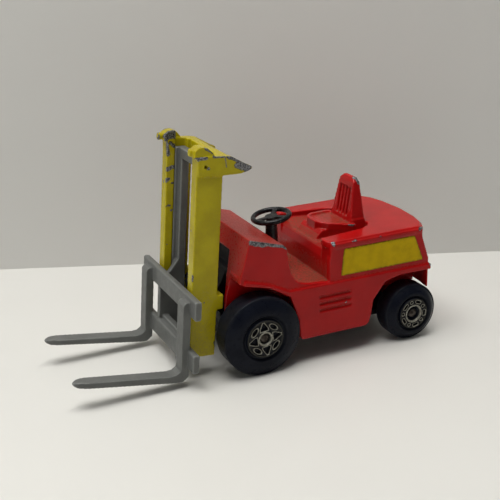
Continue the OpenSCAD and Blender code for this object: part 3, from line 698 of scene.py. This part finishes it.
def make_mast():
    obj, verts, normals = softened("mast_frame", "mast_enamelled", "mast", 0.12, 4, 8)
    up = smoothstep(normals[:, 2], 0.3, 0.9)
    # dust on what faces up and a little everywhere; the mask also darkens the mast towards its foot
    add_attribute(obj, "dust_and_shade", 0.25 * up + 0.12 + 0.3 * smoothstep(-verts[:, 2], -17.0, -6.0))
    strokes = [
        # horn ends worn to the zinc
        ((3.4, 7.6, 33.5), (5.0, 7.5, 33.9), 0.7, 0.95),
        ((5.0, 7.6, 34.7), (6.6, 7.6, 35.2), 0.3, 0.8),
        ((3.3, -7.5, 33.5), (4.6, -7.5, 33.8), 0.8, 0.85),
        # head of the far column: boss and the long scratch under it
        ((10.6, -5.3, 36.2), (11.6, -5.3, 35.9), 0.7, 1.0),
        ((11.5, -5.6, 35.2), (11.2, -5.4, 32.9), 0.3, 0.95),
        ((11.0, -5.3, 34.9), (10.4, -5.3, 34.3), 0.35, 0.8),
        ((12.6, -6.1, 35.8), None, 0.5, 0.65),
        ((11.4, -7.2, 36.6), (10.6, -7.3, 36.7), 0.3, 0.7),
        # chips down the far column
        ((10.6, -5.3, 30.9), (11.2, -5.3, 30.5), 0.38, 0.9),
        ((11.0, -5.3, 28.9), (11.5, -5.5, 28.6), 0.35, 0.75),
        ((11.5, -6.4, 28.2), None, 0.4, 0.7),
        ((10.5, -5.3, 28.2), None, 0.3, 0.7),
        ((11.5, -7.0, 26.1), None, 0.3, 0.6),
        ((10.9, -5.3, 24.4), None, 0.45, 0.6),
        ((10.5, -5.3, 23.6), None, 0.3, 0.6),
        ((11.0, -5.3, 17.8), None, 0.2, 0.7),
        # head of the near column
        ((10.2, 7.3, 36.5), (9.0, 7.4, 36.1), 0.28, 0.85),
        ((11.5, 7.5, 35.1), (10.2, 7.7, 35.2), 0.3, 0.95),
        ((9.0, 7.7, 35.4), (7.3, 7.7, 35.4), 0.24, 0.95),
        ((7.1, 7.7, 35.2), (6.8, 7.7, 33.7), 0.09, 0.95),
        ((9.7, 7.7, 33.6), None, 0.42, 0.6),
        ((11.5, 6.0, 23.6), None, 0.22, 0.8),
        ((10.3, 7.4, 20.4), None, 0.2, 0.5),
        ((11.5, 7.2, 16.6), (11.4, 7.2, 15.8), 0.2, 0.9),
        ((9.4, 7.4, 12.0), None, 0.25, 0.5),
        ((11.4, 6.6, 4.4), None, 0.5, 0.7),
        ((7.3, 7.2, 5.0), None, 0.4, 0.6),
        # rear cross plate
        ((6.2, -1.0, 35.2), (6.2, 1.5, 35.2), 0.25, 0.75),
    ]
    strokes = [
        (on_mast(*start), None if end is None else on_mast(*end), radius, strength)
        for start, end, radius, strength in strokes
    ]
    spots(obj, verts, "knock", strokes)
    dress(obj, YELLOW)


make_body()
make_mast()
carriage, _, _ = softened("fork_carriage", "fork_moulding", "forks", 0.12, 4, 8)
dress(carriage, GREY)
base, _, _ = softened("base_casting", "base_blackened", "chassis", 0.16, 4, 6)
dress(base, BLACK)
steering, _, _ = softened("steering_wheel", "steering_moulding", "chassis", 0.07, 4, 8)
dress(steering, BLACK_PLASTIC)
for end_name in ("front", "rear"):
    make_axle(end_name)
    for side_name in ("left", "right"):
        make_wheel(end_name, side_name)
make_label("left")
make_label("right")
dress(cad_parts["mast_pivot_pin"], STEEL)


# ---------- stage ----------


def plane(name, corners, material):
    mesh = bpy.data.meshes.new(name)
    mesh.from_pydata([tuple(c * MM for c in corner) for corner in corners], [], [(0, 1, 2, 3)])
    obj = bpy.data.objects.new(name, mesh)
    bpy.context.scene.collection.objects.link(obj)
    mesh.materials.append(material)


def stage_material(name, color, rough):
    p = Paint(name)
    cloud = p.ramp(p.noise(60.0, 3.0), 0.3, 0.7)
    tint = p.mix(cloud, color, tuple(c * 0.97 for c in color))
    specks = p.ramp(p.noise(0.9, 2.0), 0.76, 0.8)
    tint = p.mix(p.math("MULTIPLY", specks, 0.06), tint, tuple(c * 0.6 for c in color))
    return p.finish(tint, rough, specular=0.3)


TABLE = stage_material("table_top", (0.715, 0.71, 0.675), 0.4)
WALL = stage_material("wall", (0.735, 0.728, 0.70), 0.9)

# the table ends behind the toy along this line, where a wall rises from just below its edge
EDGE_A = Vector((20.75 + AXLE_X, -53.8))
EDGE_B = Vector((-68.95 + AXLE_X, -16.3))
STAGE_REACH, WALL_FOOT = 2500, -0.4
edge_dir = (EDGE_B - EDGE_A).normalized()
edge_out = Vector((-edge_dir.y, edge_dir.x))
left_end, right_end = EDGE_A - edge_dir * STAGE_REACH, EDGE_B + edge_dir * STAGE_REACH
near_left, near_right = left_end - edge_out * STAGE_REACH, right_end - edge_out * STAGE_REACH
plane(
    "floor_table",
    [(*left_end, 0), (*near_left, 0), (*near_right, 0), (*right_end, 0)],
    TABLE,
)
plane(
    "floor_wall",
    [(*left_end, WALL_FOOT), (*right_end, WALL_FOOT), (*right_end, STAGE_REACH), (*left_end, STAGE_REACH)],
    WALL,
)


def softbox(name, place, aim, size, power, color):
    """A rectangular area lamp, with its place, aim and size in millimetres and its power in watts."""
    lamp = bpy.data.lights.new(name, "AREA")
    lamp.shape = "RECTANGLE"
    lamp.size, lamp.size_y = size[0] * MM, size[1] * MM
    lamp.energy = power
    lamp.color = color
    obj = bpy.data.objects.new(name, lamp)
    obj.location = Vector(place) * MM
    obj.rotation_mode = "QUATERNION"
    obj.rotation_quaternion = (Vector(aim) - Vector(place)).to_track_quat("-Z", "Y")
    bpy.context.scene.collection.objects.link(obj)


softbox("overhead", place=(20, -40, 420), aim=(0, 0, 0), size=(460, 340), power=3.5, color=(1, 0.985, 0.96))
softbox("front_fill", place=(330, 60, 160), aim=(0, 0, 12), size=(260, 200), power=0.12, color=(0.97, 0.985, 1))

world = bpy.data.worlds.new("room")
world.use_nodes = True
world.node_tree.nodes["Background"].inputs["Color"].default_value = (0.86, 0.87, 0.88, 1.0)
world.node_tree.nodes["Background"].inputs["Strength"].default_value = 0.1
bpy.context.scene.world = world
bpy.context.scene.view_settings.view_transform = "Standard"

# ---------- camera ----------

CAMERA_AZIMUTH, CAMERA_ELEVATION, CAMERA_ROLL = 155.49, 20.19, 1.47
CAMERA_PLACE = Vector((60.17 + AXLE_X, 138.97, 73.33))
SENSOR_WIDTH, FOCAL_LENGTH = 36.0, 70.57
azimuth, elevation = math.radians(CAMERA_AZIMUTH), math.radians(CAMERA_ELEVATION)
back = Vector(
    (math.sin(azimuth) * math.cos(elevation), -math.cos(azimuth) * math.cos(elevation), math.sin(elevation))
)
right = Vector((0, 0, 1)).cross(back).normalized()
up = back.cross(right)
turn = Matrix((right, up, back)).transposed()
turn = turn @ Matrix.Rotation(math.radians(-CAMERA_ROLL), 3, "Z")
lens = bpy.data.cameras.new("camera")
lens.sensor_width = SENSOR_WIDTH
lens.lens = FOCAL_LENGTH
lens.clip_start, lens.clip_end = 0.005, 10.0
camera = bpy.data.objects.new("camera", lens)
camera.matrix_world = Matrix.Translation(CAMERA_PLACE * MM) @ turn.to_4x4()
bpy.context.scene.collection.objects.link(camera)
bpy.context.scene.camera = camera
